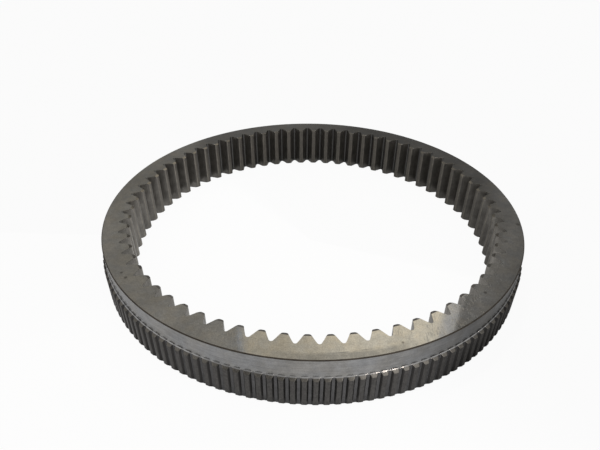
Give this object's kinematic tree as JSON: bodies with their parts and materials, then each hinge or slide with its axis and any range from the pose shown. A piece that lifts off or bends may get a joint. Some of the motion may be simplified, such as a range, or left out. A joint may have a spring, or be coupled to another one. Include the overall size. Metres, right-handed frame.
{
  "type": "internal ring gear",
  "caption": "One-piece steel ring gear with full-height internal teeth, a smooth turned collar round the top and fine spline teeth round the lower outside.",
  "frame": {"origin": "on the gear axis, in the plane of the lower face", "axes": "+Z along the gear axis towards the face of the smooth collar; +X through the middle of one internal tooth; +Y completes the right-handed set"},
  "size_m": [0.314, 0.314, 0.0365],
  "materials": {
    "machined_steel": "turned and hobbed steel, bare, lightly stained and scratched"
  },
  "bodies": {
    "root": {"ring_gear": "machined_steel"}
  },
  "joints": []
}
